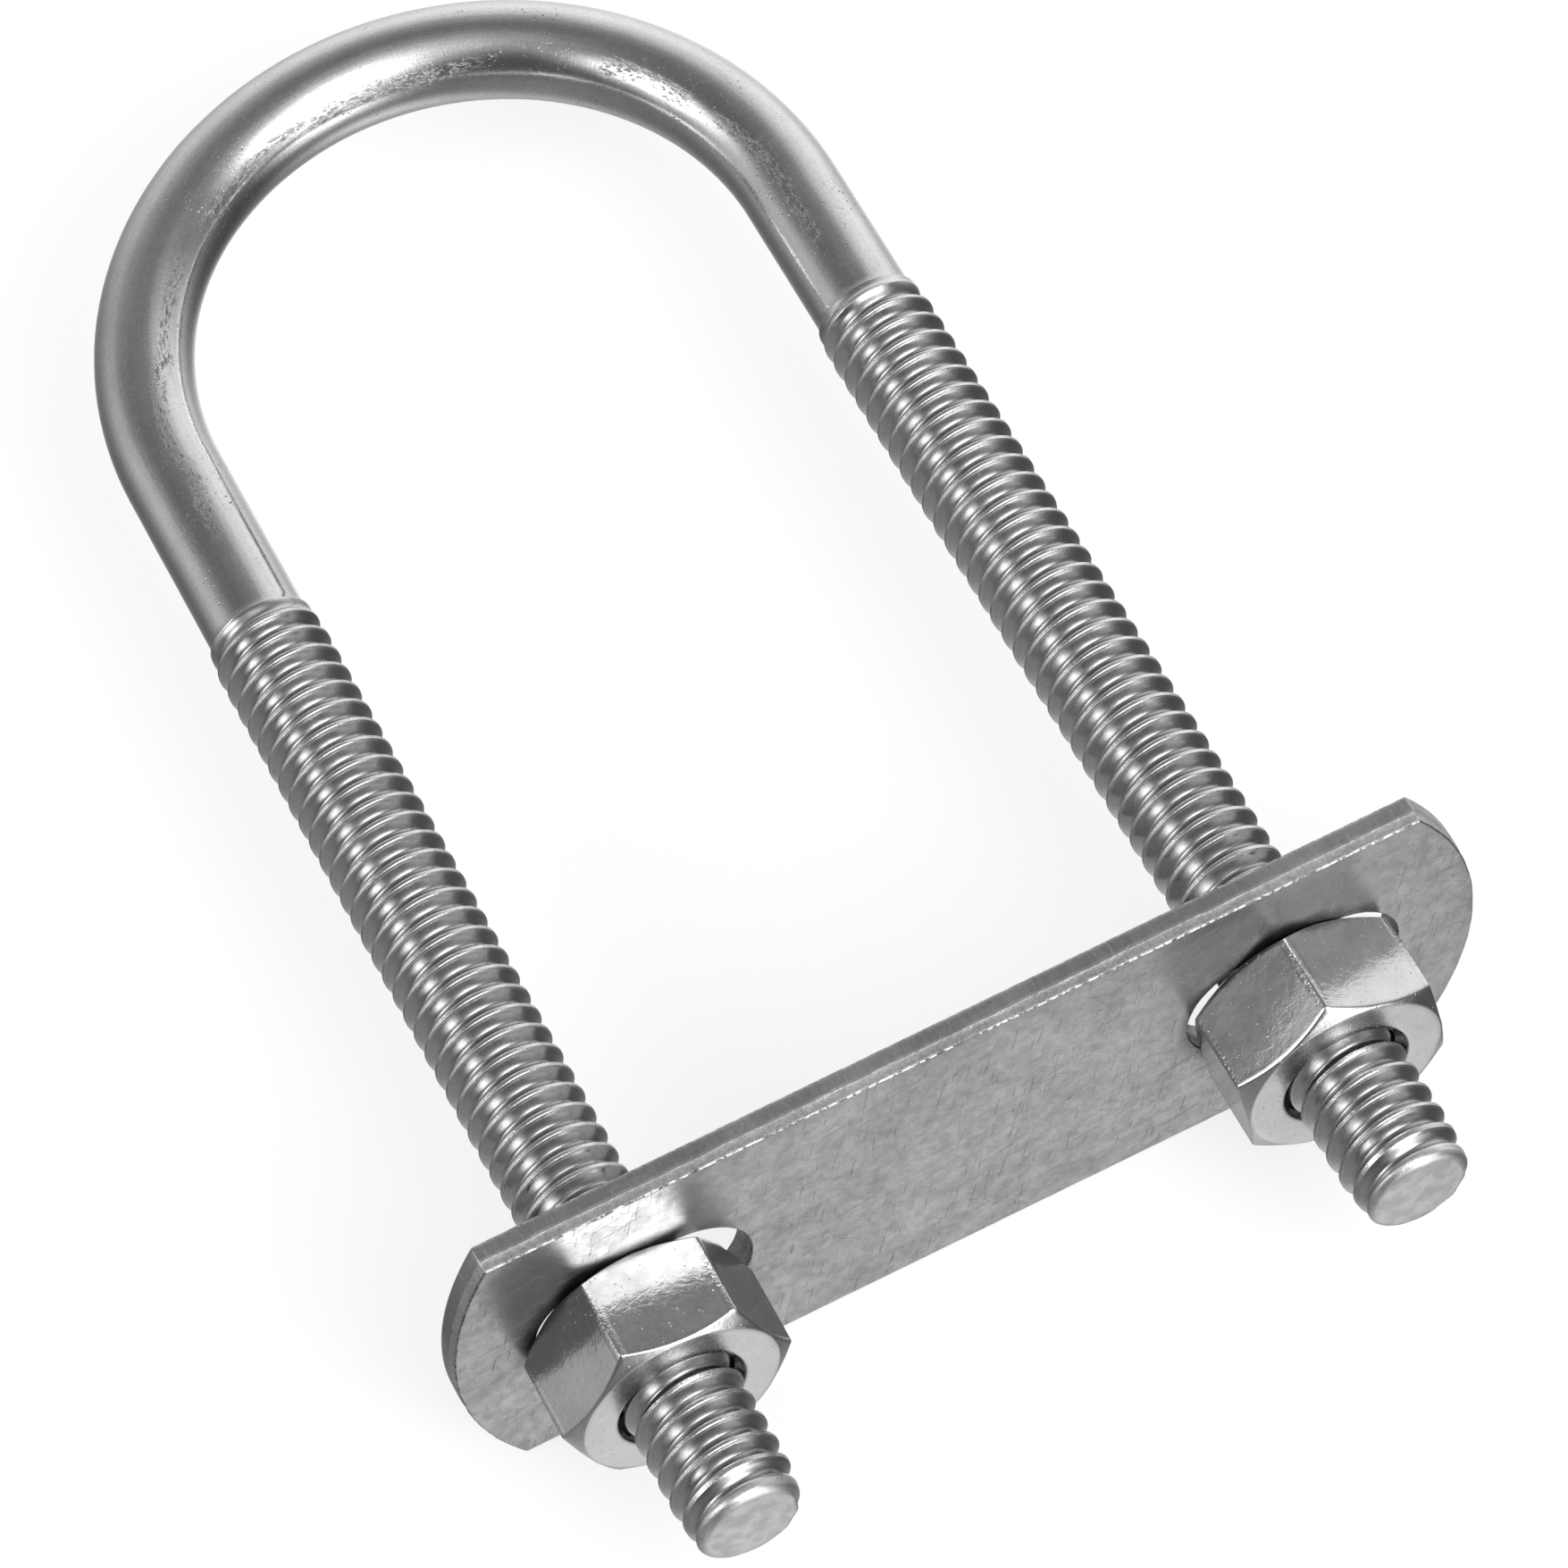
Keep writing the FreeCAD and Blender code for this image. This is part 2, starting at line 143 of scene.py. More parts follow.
def build_bar():
    verts, faces, straight, thr, crest = [], [], [], [], []

    def add(p, st, t, h):
        verts.append(p)
        straight.append(st)
        thr.append(t)
        crest.append(h)
        return len(verts) - 1

    stn = stations(PROF_U)
    m = len(stn)
    arc = math.pi * BOW_R
    tops = {}
    for side, cx, ref, y_top, y_end in ((-1, LEG_L, CREST_L, TOP_L, END_L), (1, LEG_R, CREST_R, TOP_R, END_R)):
        seed = 11.0 if side < 0 else 37.0
        dome = 0.10
        y_lo = y_end + dome

        def along(y):
            return y if side > 0 else 2 * BOW_Y + arc - y

        def place(i, y, r, t, h):
            phi = TAU * i / N
            psi = phi if side > 0 else math.pi - phi
            return add((cx + r * math.cos(phi), y, r * math.sin(phi)), (r * math.cos(psi), along(y), r * math.sin(psi)), t, h)

        y_run = y_top - 0.035

        def thread_r(i, y):
            phi = TAU * i / N
            off = offset_at(phi, y, ref)
            r = float(np.interp(abs(off), PROF_U, PROF_R))
            h = (r - 2.385) / (3.138 - 2.385)
            x3, z3 = math.cos(phi) * 3, math.sin(phi) * 3
            # rolled crests are slightly ragged, flanks slightly wavy
            if abs(off) < 0.16:
                r += 0.016 * grit(x3, y, z3, 1.1, seed) + 0.006 * grit(x3, y, z3, 2.9, seed + 3) - 0.004
            else:
                r += 0.010 * grit(x3, y, z3, 1.2, seed + 9)
            # the run-out beside the bow
            if y > y_top - 1.45:
                ring = 2.965 + 0.02 * grit(x3, y * 0.3, z3, 0.6, seed)
                s = smooth((y_top - y) / 1.45)
                r = ring + (r - ring) * s
            # the rounded tip
            u = y - y_lo
            if u < 3.4:
                env = 2.40 + 0.47 * math.sqrt(max(0.0, 1 - (1 - min(1, u / 0.46)) ** 2)) + max(0.0, u - 0.46) * 0.15
                env += 0.03 * grit(x3, y, z3, 0.7, seed + 20)
                if r > env:
                    r = env
                elif u < 1.5:
                    # rolled-over metal fills the groove next to the end face
                    fill = r + (env - 0.02 - r) * (1 - smooth((u - 0.35) / 1.1)) * 0.92
                    # but not so far that a nut would no longer start on the thread
                    r = max(r, min(fill, float(np.interp(abs(off), NUT_U, NUT_PR)) - 0.045))
            return r, h

        cols = []
        k_lo = int(math.floor((y_lo - ref) / PITCH)) - 2
        k_hi = int(math.ceil((y_top - ref) / PITCH)) + 3
        for i in range(N):
            phi = TAU * i / N
            col, seen = [], {}
            for k in range(k_lo, k_hi + 1):
                for off in stn:
                    y = min(y_run, max(y_lo, ref - PITCH * phi / TAU + PITCH * k + off))
                    key = round(y, 5)
                    if key not in seen:
                        r, h = thread_r(i, y)
                        seen[key] = place(i, y, r, 0.75 + 0.25 * smooth((y - y_lo - 0.10) / 1.1), h)
                    col.append(seen[key])
            cols.append(col)
        rows = len(cols[0])
        for i in range(N):
            a = cols[i]
            if i + 1 < N:
                b = cols[i + 1]
                for j in range(rows - 1):
                    if not (a[j] == a[j + 1] and b[j] == b[j + 1]):
                        faces.append((a[j], a[j + 1], b[j + 1], b[j]))
            else:
                b = cols[0]
                for j in range(m, rows - 1):
                    if not (a[j] == a[j + 1] and b[j - m] == b[j + 1 - m]):
                        faces.append((a[j], a[j + 1], b[j + 1 - m], b[j - m]))
                # the last rows of column 0 are clamped to the end, so nothing is left open
        # end face: rings inwards to a slightly domed centre
        ring = [cols[i][0] for i in range(N)]
        for rr in (2.27, 2.08, 1.8, 1.45, 1.05, 0.65, 0.25):
            new = []
            for i in range(N):
                phi = TAU * i / N
                x3, z3 = rr * math.cos(phi), rr * math.sin(phi)
                y = y_lo - dome * (1 - (rr / 2.4) ** 2) * 0.85 + 0.030 * grit(x3, 0, z3, 0.75, seed + 5) + 0.010 * grit(x3, 0, z3, 2.3, seed + 6)
                new.append(place(i, y, rr, 0.6, 0.75))
            for i in range(N):
                faces.append((new[i], ring[i], ring[(i + 1) % N], new[(i + 1) % N]))
            ring = new
        c = add((cx, y_lo - dome * 0.85 + 0.03 * grit(0, 0, 0, 0.75, seed + 5), 0), (0, along(y_lo), 0), 0.6, 0.75)
        for i in range(N):
            faces.append((c, ring[i], ring[(i + 1) % N]))
        # shank above the thread
        ring = [cols[i][-1] for i in range(N)]
        ys = [(y_top - 0.012, -0.002), (y_top + 0.004, -0.022), (y_top + 0.016, -0.060), (y_top + 0.034, 2.83), (y_top + 0.060, 2.775), (y_top + 0.12, 2.752)]
        n_sh = 9
        for q in range(n_sh + 1):
            ys.append((y_top + 0.5 + (BOW_Y - y_top - 0.5) * q / n_sh, SHANK_R))
        for y, r in ys:
            new = []
            for i in range(N):
                phi = TAU * i / N
                if r < 1:
                    r_here = math.hypot(verts[cols[i][-1]][0] - cx, verts[cols[i][-1]][2]) + r
                else:
                    r_here = r
                rr = r_here + (0.010 * grit(math.cos(phi) * 3, y, math.sin(phi) * 3, 0.5, seed) if r == SHANK_R and y < BOW_Y - 1 else 0)
                new.append(place(i, y, rr, 0.0, 1.0))
            for i in range(N):
                faces.append((ring[i], new[i], new[(i + 1) % N], ring[(i + 1) % N]))
            ring = new
        tops[side] = ring
    # the half ring
    n_arc = 76
    prev = [tops[1][i] for i in range(N)]
    for q in range(1, n_arc + 1):
        th = math.pi * q / n_arc
        if q < n_arc:
            new = []
            for i in range(N):
                psi = TAU * i / N
                w = math.sin(th) ** 0.5
                # bending flattens the inside of the bow a touch and leaves faint former marks
                r = SHANK_R - 0.022 * w * max(0.0, -math.cos(psi)) + 0.012 * w * grit(math.cos(psi) * 3, th * 18, math.sin(psi) * 3, 0.35, 71.0)
                d = BOW_R + r * math.cos(psi)
                new.append(add((d * math.cos(th), BOW_Y + d * math.sin(th), r * math.sin(psi)), (r * math.cos(psi), BOW_Y + BOW_R * th, r * math.sin(psi)), 0.0, 1.0))
        else:
            new = [tops[-1][(N // 2 - i) % N] for i in range(N)]
        for i in range(N):
            faces.append((prev[i], new[i], new[(i + 1) % N], prev[(i + 1) % N]))
        prev = new
    return make_object("bent_bar", verts, faces, {"straight": straight, "thr": thr, "crest": crest}, 70)


# ---------------------------------------------------------------- nuts
def build_nut(name, cx, turn_deg, ref, seed):
    a_flat, rho = 5.5, 0.17
    d_c = (a_flat - rho) / math.cos(math.radians(30))
    half = NUT_H / 2
    offs = [0.0, 0.45, 0.85, 2.2, 6, 10, 14, 18, 22, 26]
    angles = []
    for s in range(6):
        base = turn_deg + 60 * s
        for o in sorted(set([-o for o in offs] + offs + [30.0])):
            angles.append(math.radians(base + o))
    angles.sort()
    n = len(angles)
    corner = [math.radians(turn_deg + 60 * s) for s in range(6)]

    def hex_r(phi):
        d = min(abs((phi - c + math.pi) % TAU - math.pi) for c in corner)
        flat = a_flat / math.cos(math.radians(30) - d)
        inside = rho * rho - (d_c * math.sin(d)) ** 2
        if inside > 0:
            arc = d_c * math.cos(d) + math.sqrt(inside)
            return min(flat, arc)
        return flat

    verts, faces, zone, rad = [], [], [], []

    def add(phi, y, r, z):
        verts.append((cx + r * math.cos(phi), y, r * math.sin(phi)))
        zone.append(z)
        rad.append(r)
        return len(verts) - 1

    # internal thread, from the far face to the near face
    y0, y1 = NUT_Y - half + 0.18, NUT_Y + half - 0.18
    pu, pr = NUT_U, NUT_PR
    stn = stations(pu)
    m = len(stn)

    def bore_r(phi, y):
        r = float(np.interp(abs(offset_at(phi % TAU, y, ref)), pu, pr))
        end = min(y - y0, y1 - y)
        return max(r, 3.44 - end * 1.0)

    cols = []
    k_lo = int(math.floor((y0 - ref) / PITCH)) - 2
    k_hi = int(math.ceil((y1 - ref) / PITCH)) + 3
    for phi in angles:
        p = phi % TAU
        col, seen = [], {}
        for k in range(k_lo, k_hi + 1):
            for off in stn:
                y = min(y1, max(y0, ref - PITCH * (phi - angles[0] + (angles[0] % TAU)) / TAU + PITCH * k + off))
                key = round(y, 5)
                if key not in seen:
                    seen[key] = add(phi, y, bore_r(phi, y), 0.0)
                col.append(seen[key])
        cols.append(col)
    rows = len(cols[0])
    for i in range(n):
        a = cols[i]
        if i + 1 < n:
            b = cols[i + 1]
            for j in range(rows - 1):
                if not (a[j] == a[j + 1] and b[j] == b[j + 1]):
                    faces.append((b[j], b[j + 1], a[j + 1], a[j]))
        else:
            b = cols[0]
            for j in range(m, rows - 1):
                if not (a[j] == a[j + 1] and b[j - m] == b[j + 1 - m]):
                    faces.append((b[j - m], b[j + 1 - m], a[j + 1], a[j]))
    # outside, from the near mouth over the near face, down the flats and back to the far mouth
    def outer(sign):
        """Rows of (function of phi -> (r, depth below the face), zone) from the mouth outwards."""
        face_r = 5.40
        out = [(lambda p: (3.50, 0.055), 0.3), (lambda p: (3.58, 0.012), 1.0), (lambda p: (3.72, 0.0), 1.0)]
        for rr in (4.1, 4.6, 5.1):
            out.append((lambda p, rr=rr: (rr, 0.0), 1.0))
        out.append((lambda p: (face_r - 0.06, 0.0), 1.0))
        out.append((lambda p: (face_r + 0.03, 0.022), 0.9))

        def cone(f, back):
            def g(p):
                h = hex_r(p) - back
                r = face_r + 0.09 + (h - face_r - 0.09) * f
                return r, 0.03 + (r - face_r - 0.03) * T30
            return g

        for f in (0.0, 0.35, 0.7, 1.0):
            out.append((cone(f, 0.07), 0.5))

        def edge(back, extra):
            def g(p):
                h = hex_r(p)
                return h - back, 0.03 + (h - 0.07 - face_r - 0.03) * T30 + extra
            return g

        out.append((edge(0.022, 0.055), 0.4))
        out.append((edge(0.0, 0.13), 0.0))
        return out

    ring = [cols[i][-1] for i in range(n)]
    last = [cols[i][0] for i in range(n)]
    up, down = outer(1), outer(-1)
    seq = []
    for f, z in up:
        seq.append(("up", f, z))
    for t in (0.035, 0.14, 0.32, 0.5, 0.68, 0.86, 0.965):
        seq.append(("mid", t, 0.0))
    for f, z in reversed(down):
        seq.append(("down", f, z))
    f_up, f_dn = up[-1][0], down[-1][0]
    for kind, f, z in seq:
        new = []
        for phi in angles:
            if kind == "up":
                r, d = f(phi)
                y = NUT_Y + half - 0.006 - d
            elif kind == "down":
                r, d = f(phi)
                y = NUT_Y - half + d
            else:
                r = hex_r(phi)
                ya, yb = NUT_Y + half - 0.006 - f_up(phi)[1], NUT_Y - half + f_dn(phi)[1]
                y = ya + (yb - ya) * f
            x3, z3 = r * math.cos(phi), r * math.sin(phi)
            if z == 0.0 and kind == "mid":
                r -= 0.010 * (0.5 + grit(x3, y, z3, 0.45, seed))
            if z in (0.5, 0.4):
                y += (-1 if kind == "up" else 1) * 0.010 * (0.5 + grit(x3, y, z3, 1.1, seed + 2))
            new.append(add(phi, y, r, z))
        for i in range(n):
            faces.append((new[i], ring[i], ring[(i + 1) % n], new[(i + 1) % n]))
        ring = new
    for i in range(n):
        faces.append((last[i], ring[i], ring[(i + 1) % n], last[(i + 1) % n]))
    return make_object(name, verts, faces, {"zone": zone, "rad": rad}, 38)


# ---------------------------------------------------------------- plate
def plate_outline():
    """Points and outward normals round the plate, counterclockwise seen from +Y looking at x right, z up."""
    hx, hz, rise = 26.0, 9.525, 2.72
    big = (hz * hz + rise * rise) / (2 * rise)
    ex = hx + rise - big
    rho = 0.19
    # corner circle tangent to the straight edge (inside z = hz) and the end arc (inside radius big)
    cz = hz - rho
    cxr = ex + math.sqrt((big - rho) ** 2 - cz ** 2)
    a_end = math.atan2(cz, cxr - ex)
    pts = []

    def arc(x, z, r, a0, a1, n):
        for q in range(n):
            a = a0 + (a1 - a0) * q / n
            pts.append(((x + r * math.cos(a), z + r * math.sin(a)), (math.cos(a), math.sin(a))))

    def line(x0, x1, z, nz, n):
        for q in range(n):
            pts.append(((x0 + (x1 - x0) * q / n, z), (0.0, nz)))

    arc(ex, 0, big, -a_end, a_end, 56)
    arc(cxr, cz, rho, a_end, math.pi / 2, 7)
    line(cxr, -cxr, hz, 1.0, 150)
    arc(-cxr, cz, rho, math.pi / 2, math.pi - a_end, 7)
    arc(-ex, 0, big, math.pi - a_end, math.pi + a_end, 56)
    arc(-cxr, -cz, rho, math.pi + a_end, 1.5 * math.pi, 7)
    line(-cxr, cxr, -hz, -1.0, 150)
    arc(cxr, -cz, rho, -math.pi / 2, -a_end, 7)
    return pts


def slot_outline(cx):
    """Points and normals pointing into the hole, clockwise so that the metal is on the same side."""
    w, l = 7.75 / 2, 11.9 / 2
    hx = l - w
    pts = []
    for q in range(36):
        a = -math.pi / 2 + math.pi * q / 36
        pts.append(((cx + hx + w * math.cos(a), w * math.sin(a)), (math.cos(a), math.sin(a))))
    for q in range(12):
        pts.append(((cx + hx - 2 * hx * q / 12, w), (0.0, 1.0)))
    for q in range(36):
        a = math.pi / 2 + math.pi * q / 36
        pts.append(((cx - hx + w * math.cos(a), w * math.sin(a)), (math.cos(a), math.sin(a))))
    for q in range(12):
        pts.append(((cx - hx + 2 * hx * q / 12, -w), (0.0, -1.0)))
    pts = pts[::-1]
    return [(p, (-n[0], -n[1])) for p, n in pts]


# depth below the bow-side face, inset, edge zone (0 face, 1 burnished band, 2 fracture band)
EDGE = [(0.0, 0.15, 0.0), (0.012, 0.09, 0.0), (0.055, 0.035, 0.4), (0.13, 0.004, 1.0), (0.30, 0.0, 1.0), (0.50, 0.0, 1.0), (0.72, 0.0, 1.0), (0.90, 0.0, 1.0),
        (0.98, 0.03, 2.0), (1.08, 0.055, 2.0), (1.20, 0.065, 2.0), (1.34, 0.07, 2.0), (1.44, 0.06, 2.0), (1.49, 0.055, 1.5), (1.525, 0.062, 0.6), (1.565, 0.085, 0.3), (1.592, 0.115, 0.2), (1.60, 0.155, 0.0)]


def build_plate():
    verts, faces, ez = [], [], []
    outlines = [plate_outline(), slot_outline(-18.315), slot_outline(18.315)]
    rims = []
    for o_i, outline in enumerate(outlines):
        prev = None
        first = last = None
        n = len(outline)
        for r_i, (depth, inset, z) in enumerate(EDGE):
            new = []
            for q, (p, nn) in enumerate(outline):
                d = inset
                yy = depth
                if z == 2.0:
                    g = grit(p[0], depth, p[1], 1.7, 5.0) + 0.6 * grit(p[0], depth, p[1], 4.2, 8.0)
                    d = max(0.0, inset + 0.028 * g)
                    yy = depth + 0.05 * grit(p[0], 0, p[1], 0.8, 15.0) * (1 if 0.97 < depth < 1.4 else 0.3)
                elif 1.48 < depth < 1.6:
                    d = inset + 0.022 * grit(p[0], depth, p[1], 1.1, 25.0) + 0.016 * grit(p[0], depth, p[1], 3.6, 28.0) - 0.008
                elif z == 1.0 and depth > 0.6:
                    yy = depth + 0.055 * grit(p[0], 0, p[1], 0.8, 15.0) + 0.03 * grit(p[0], 0, p[1], 2.7, 16.0)
                if o_i > 0 and r_i in (1, 2, 3):
                    d = inset * 0.6
                yy = min(1.6, max(0.0, yy))
                verts.append((PL_CX + p[0] - nn[0] * d, -yy, PL_CZ + p[1] - nn[1] * d))
                ez.append(z)
                new.append(len(verts) - 1)
            if prev:
                for q in range(n):
                    faces.append((prev[q], prev[(q + 1) % n], new[(q + 1) % n], new[q]))
            else:
                first = new
            prev = new
        rims.append((first, prev))
    # the two faces
    for which in (0, 1):
        loops = [rim[which] for rim in rims]
        coords, edges, index = [], [], []
        for loop in loops:
            base = len(coords)
            for v in loop:
                coords.append(Vector((verts[v][0], verts[v][2])))
                index.append(v)
            k = len(loop)
            edges += [(base + a, base + (a + 1) % k) for a in range(k)]
        step = 0.85
        gx = int(60 / step)
        gz = int(20 / step)

        def inside(x, z, gap):
            x, z = x - PL_CX, z - PL_CZ
            if abs(z) > 9.525 - gap - 0.26:
                return False
            big = (9.525 ** 2 + 2.72 ** 2) / (2 * 2.72)
            ex = 26.0 + 2.72 - big
            if math.hypot(abs(x) + 0 - ex, z) > big - gap - 0.26 and abs(x) > ex:
                return False
            for sx in (-18.315, 18.315):
                dx = max(0.0, abs(x - sx) - (11.9 - 7.75) / 2)
                if math.hypot(dx, z) < 7.75 / 2 + gap + 0.26:
                    return False
            return True

        for a in range(-gx // 2, gx // 2 + 1):
            for b in range(-gz // 2, gz // 2 + 1):
                x = PL_CX + (a + 0.5 * (b % 2)) * step
                z = PL_CZ + b * step * 0.87
                if inside(x, z, 0.35):
                    y = -PL_T if which == 1 else 0.0
                    g = 0.005 * (grit(x, 0, z, 0.22, 3.0 + which) - 0.6)
                    verts.append((x, y - g if which == 1 else y + g, z))
                    ez.append(0.0)
                    coords.append(Vector((x, z)))
                    index.append(len(verts) - 1)
        vs, es, fs, ov, oe, of = delaunay_2d_cdt(coords, edges, [], 0, 1e-7)
        for f in fs:
            src = []
            for v in f:
                src.append(index[ov[v][0]])
            mx = sum(verts[s][0] for s in src) / len(src) - PL_CX
            mz = sum(verts[s][2] for s in src) / len(src) - PL_CZ
            hole = False
            for sx in (-18.315, 18.315):
                dx = max(0.0, abs(mx - sx) - (11.9 - 7.75) / 2)
                if math.hypot(dx, mz) < 7.75 / 2 + 0.165:
                    hole = True
            big = (9.525 ** 2 + 2.72 ** 2) / (2 * 2.72)
            ex = 26.0 + 2.72 - big
            if hole or (math.hypot(abs(mx) - ex, mz) > big - 0.15 and abs(mx) > ex):
                continue
            # orientation: nut side faces -Y, bow side faces +Y
            p = [verts[s] for s in src]
            area = sum(p[q][0] * p[(q + 1) % len(p)][2] - p[(q + 1) % len(p)][0] * p[q][2] for q in range(len(p)))
            # counterclockwise in (x, z) has normal -Y
            want_ccw = which == 1
            if (area > 0) != want_ccw:
                src = src[::-1]
            faces.append(tuple(src))
    return make_object("slotted_plate", verts, faces, {"ez": ez}, 32)


# ---------------------------------------------------------------- node helpers
class Tree:
    def __init__(self, nt):
        self.nt = nt

    def new(self, kind, **props):
        n = self.nt.nodes.new(kind)
        for k, v in props.items():
            setattr(n, k, v)
        return n

    def put(self, socket, value):
        if hasattr(value, "is_output"):
            self.nt.links.new(value, socket)
        else:
            socket.default_value = value

    def math(self, op, a, b=None, c=None, clamp=False):
        n = self.new("ShaderNodeMath", operation=op, use_clamp=clamp)
        self.put(n.inputs[0], a)
        if b is not None:
            self.put(n.inputs[1], b)
        if c is not None:
            self.put(n.inputs[2], c)
        return n.outputs[0]

    def vec(self, op, a, b=None):
        n = self.new("ShaderNodeVectorMath", operation=op)
        self.put(n.inputs[0], a)
        if b is not None:
            self.put(n.inputs[1], b)
        return n.outputs["Value"] if op in ("DOT_PRODUCT", "LENGTH") else n.outputs[0]

    def noise(self, vector, scale, detail=2.0, rough=0.5, distortion=0.0):
        n = self.new("ShaderNodeTexNoise")
        self.put(n.inputs["Vector"], vector)
        n.inputs["Scale"].default_value = scale
        n.inputs["Detail"].default_value = detail
        n.inputs["Roughness"].default_value = rough
        n.inputs["Distortion"].default_value = distortion
        return n.outputs[0]

    def ramp(self, value, lo, hi, out_lo=0.0, out_hi=1.0, mode="SMOOTHSTEP"):
        n = self.new("ShaderNodeMapRange", interpolation_type=mode, clamp=True) if mode == "LINEAR" else self.new("ShaderNodeMapRange", interpolation_type=mode)
        self.put(n.inputs["Value"], value)
        n.inputs["From Min"].default_value = lo
        n.inputs["From Max"].default_value = hi
        n.inputs["To Min"].default_value = out_lo
        n.inputs["To Max"].default_value = out_hi
        return n.outputs[0]

    def voronoi(self, vector, scale, feature="F1", randomness=1.0):
        n = self.new("ShaderNodeTexVoronoi", feature=feature)
        self.put(n.inputs["Vector"], vector)
        n.inputs["Scale"].default_value = scale
        n.inputs["Randomness"].default_value = randomness
        return n.outputs["Distance"]

    def attr(self, name, vector=False):
        n = self.new("ShaderNodeAttribute", attribute_name=name)
        return n.outputs["Vector"] if vector else n.outputs["Fac"]

    def grey(self, value):
        n = self.new("ShaderNodeCombineColor")
        for k in range(3):
            self.put(n.inputs[k], value)
        return n.outputs[0]

    def warm(self, value, r=1.0, g=1.0, b=0.985):
        n = self.new("ShaderNodeCombineColor")
        for k, f in enumerate((r, g, b)):
            self.put(n.inputs[k], self.math("MULTIPLY", value, f))
        return n.outputs[0]

    def bump(self, height, distance, strength=1.0, normal=None):
        n = self.new("ShaderNodeBump")
        n.inputs["Strength"].default_value = strength
        n.inputs["Distance"].default_value = distance
        self.put(n.inputs["Height"], height)
        if normal is not None:
            self.put(n.inputs["Normal"], normal)
        return n.outputs[0]

    def scratches(self, vector, angle, across, along, lo, hi, seed):
        """Short, thin streaks along one direction."""
        m = self.new("ShaderNodeMapping")
        self.put(m.inputs["Vector"], vector)
        m.inputs["Location"].default_value = (seed, seed * 0.7, -seed)
        m.inputs["Rotation"].default_value = (0, angle, 0)
        s = self.new("ShaderNodeMapping")
        self.put(s.inputs["Vector"], m.outputs[0])
        s.inputs["Scale"].default_value = (along, 1.0, across)
        n = self.noise(s.outputs[0], 1.0, 1.0, 0.4)
        return self.ramp(n, lo, hi)


def metal(name):
    mat = bpy.data.materials.new(name)
    mat.use_nodes = True
    nt = mat.node_tree
    bsdf = nt.nodes["Principled BSDF"]
    bsdf.inputs["Metallic"].default_value = 1.0
    return mat, Tree(nt), bsdf


